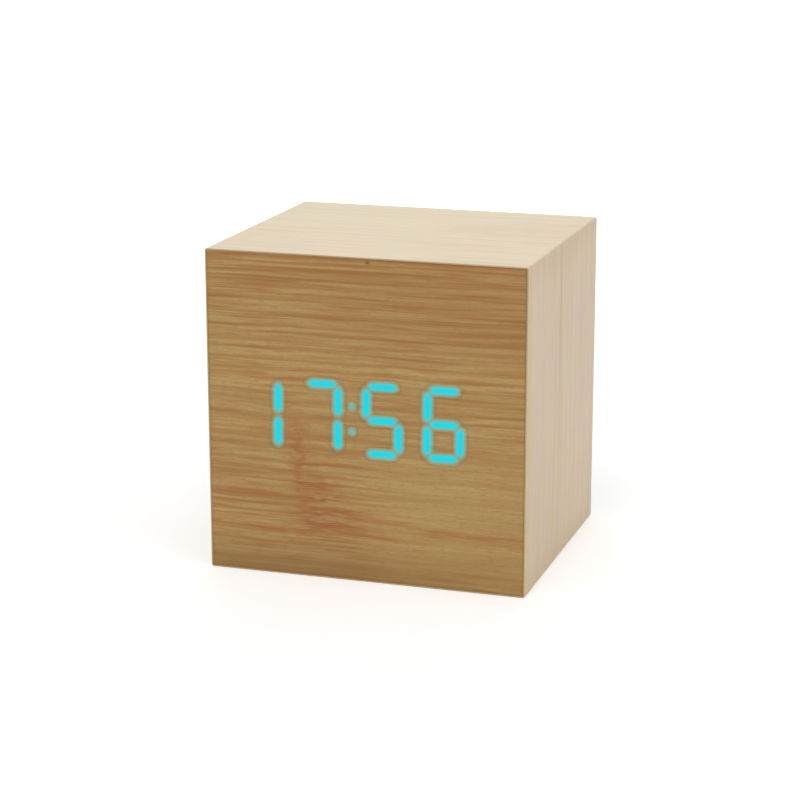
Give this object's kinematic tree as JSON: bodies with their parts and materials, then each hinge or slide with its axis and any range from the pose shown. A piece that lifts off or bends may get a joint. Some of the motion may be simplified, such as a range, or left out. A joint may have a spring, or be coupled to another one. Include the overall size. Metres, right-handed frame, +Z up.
{
  "type": "wooden block alarm clock",
  "caption": "Small wooden block alarm clock: lit digits shine through a bamboo front veneer, pale wood sides, recessed back cover with buttons, power socket and hinged battery door.",
  "frame": {"origin": "middle of the underside, on the surface the clock stands on", "axes": "+Z up, the display faces -Y, +X to the right as seen from the front"},
  "size_m": [0.062, 0.0536, 0.062],
  "materials": {
    "bamboo_veneer": "satin printed bamboo film, translucent",
    "maple_veneer": "satin printed pale wood film",
    "fibreboard": "raw fibreboard",
    "pine_block": "sawn softwood",
    "diffuser_film": "frosted translucent sheet",
    "white_plastic": "moulded white",
    "circuit_board": "green solder mask",
    "led": "clear cast chip",
    "chip_black": "moulded black",
    "steel": "plated",
    "plug_plastic": "moulded ivory",
    "ribbon_plastic": "ribbed grey",
    "mic_can": "gold plated",
    "cover_plastic": "fine spark-eroded black",
    "button_plastic": "smooth dark grey",
    "plunger_plastic": "moulded grey",
    "black_screw": "black oxide",
    "cell_can": "printed can, steel ends",
    "wire_red": "red insulation",
    "wire_black": "black insulation"
  },
  "bodies": {
    "case": {"front_veneer": "bamboo_veneer", "top_veneer": "maple_veneer", "bottom_veneer": "maple_veneer", "left_veneer": "maple_veneer", "right_veneer": "maple_veneer", "back_veneer": "maple_veneer", "front_board": "fibreboard", "top_board": "fibreboard", "bottom_board": "fibreboard", "left_board": "fibreboard", "right_board": "fibreboard", "corner_blocks": "pine_block", "diffuser": "diffuser_film", "light_box": "white_plastic", "display_board": "circuit_board", "display_leds": "led", "display_screws": "steel", "clock_chip": "chip_black", "driver_chip": "chip_black", "resistors": "chip_black", "crystal": "steel", "display_plug": "plug_plastic", "ribbon_cable": "ribbon_plastic", "control_plug": "plug_plastic", "control_board": "circuit_board", "control_screws": "steel", "switch_housings": "chip_black", "buzzer": "chip_black", "microphone": "mic_can", "temperature_sensor": "chip_black", "usb_shell": "steel", "usb_tongue": "chip_black", "back_cover": "cover_plastic", "cover_screws": "black_screw", "contact_plates": "steel", "contact_springs": "steel", "battery_cells": "cell_can", "red_wire": "wire_red", "black_wire": "wire_black"},
    "set_key": {"set_button": "button_plastic", "set_plunger": "plunger_plastic"},
    "up_key": {"up_button": "button_plastic", "up_plunger": "plunger_plastic"},
    "down_key": {"down_button": "button_plastic", "down_plunger": "plunger_plastic"},
    "door": {"battery_door": "cover_plastic"}
  },
  "joints": [
    {"name": "set_press", "type": "slide", "parent": "case", "child": "set_key", "axis": [0, -1, 0], "range_m": [0, 0.0005], "stiffness_N_per_m": 400, "springref_m": -0.001},
    {"name": "up_press", "type": "slide", "parent": "case", "child": "up_key", "axis": [0, -1, 0], "range_m": [0, 0.0005], "stiffness_N_per_m": 400, "springref_m": -0.001},
    {"name": "down_press", "type": "slide", "parent": "case", "child": "down_key", "axis": [0, -1, 0], "range_m": [0, 0.0005], "stiffness_N_per_m": 400, "springref_m": -0.001},
    {"name": "door_hinge", "type": "hinge", "parent": "case", "child": "door", "pos_m": [0, 0.0239, 0.0116], "axis": [-1, 0, 0], "range_deg": [0, 90]}
  ]
}
